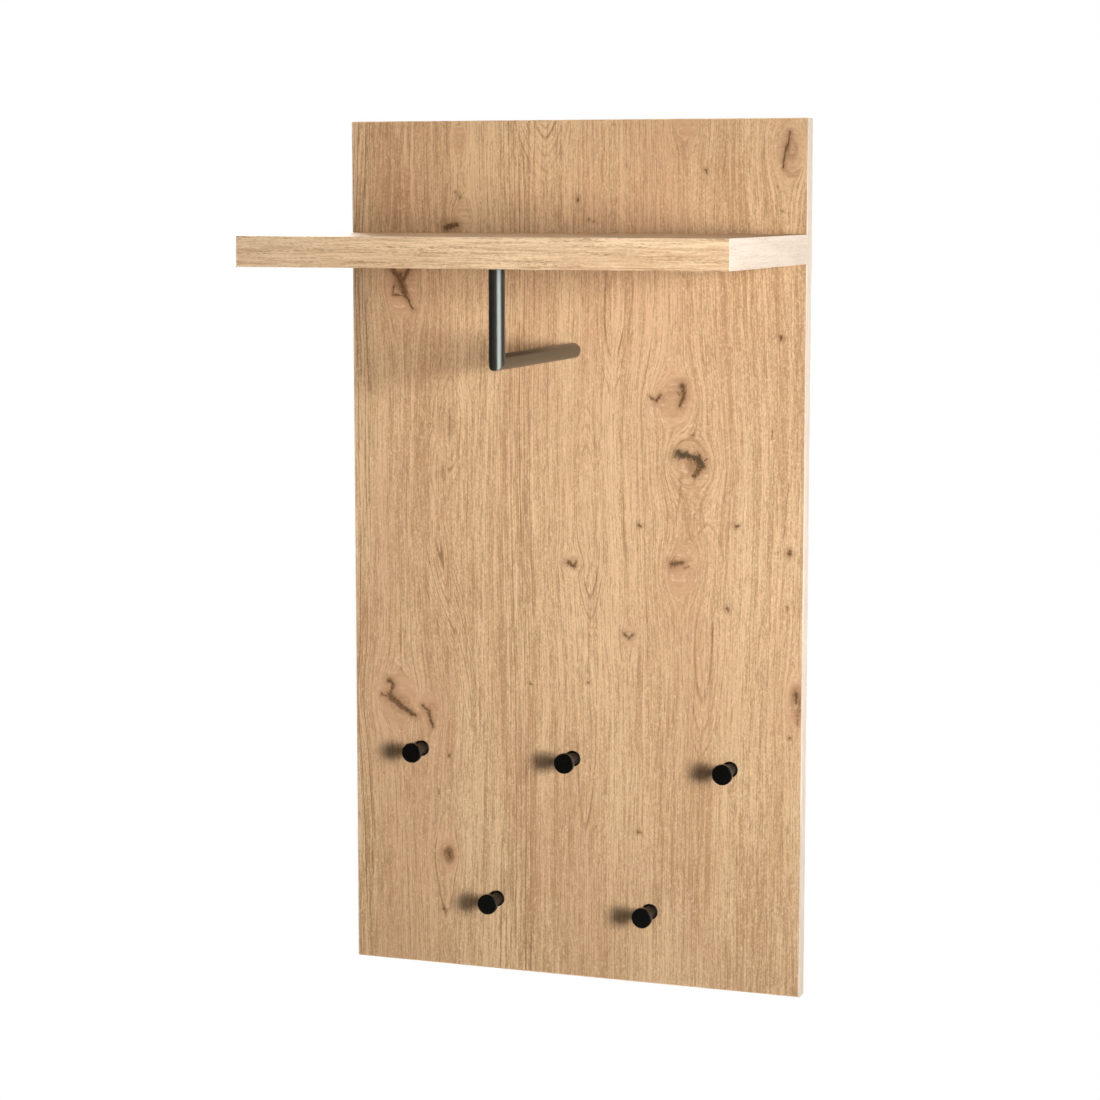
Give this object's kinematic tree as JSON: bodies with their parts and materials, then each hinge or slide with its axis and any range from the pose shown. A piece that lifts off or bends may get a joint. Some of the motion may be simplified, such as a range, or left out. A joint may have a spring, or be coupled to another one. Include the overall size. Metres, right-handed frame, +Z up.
{
  "type": "wall hook rack",
  "caption": "Tall oak-faced wall board with a thick shelf near the top, an L-shaped dark tube rail under it for coat hangers, and spool-shaped black coat knobs below.",
  "frame": {"origin": "centre of the tall board's back face, which lies on the wall", "axes": "+Z up along the board, +X to the right along the board as seen from the room, +Y into the wall"},
  "size_m": [0.6, 0.362, 1.09],
  "materials": {
    "oak_panel": "matt textured oak, grain upright",
    "oak_shelf": "matt textured oak, grain level",
    "oak_edge": "matt oak edge band",
    "oak_cap": "matt oak-coloured cap",
    "beech_dowel": "plain beech",
    "satin_anthracite": "satin anthracite coating",
    "satin_black": "satin black coating",
    "zinc_fastener": "bright zinc plate",
    "zinc_plate": "zinc-plated sheet steel"
  },
  "bodies": {
    "root": {"panel_board": "oak_panel", "panel_edge_left": "oak_edge", "panel_edge_right": "oak_edge", "panel_edge_top": "oak_edge", "panel_edge_bottom": "oak_edge", "shelf_board": "oak_shelf", "shelf_edge_front": "oak_edge", "shelf_edge_left": "oak_edge", "shelf_edge_right": "oak_edge", "shelf_dowels": "beech_dowel", "shelf_connector_screws": "zinc_fastener", "rail_upright_tube": "satin_anthracite", "rail_level_tube": "satin_anthracite", "rail_top_plug": "zinc_fastener", "rail_wall_plug": "zinc_fastener", "rail_top_washer": "zinc_fastener", "rail_top_screw": "zinc_fastener", "rail_cover_cap": "oak_cap", "rail_wall_washer": "zinc_fastener", "rail_wall_screw": "zinc_fastener", "knob_washers": "zinc_fastener", "knob_screws": "zinc_fastener", "hanger_plate_left": "zinc_plate", "hanger_plate_right": "zinc_plate", "hanger_plate_screws": "zinc_fastener", "knob_upper_left": "satin_black", "knob_upper_middle": "satin_black", "knob_upper_right": "satin_black", "knob_lower_left": "satin_black", "knob_lower_right": "satin_black"}
  },
  "joints": []
}
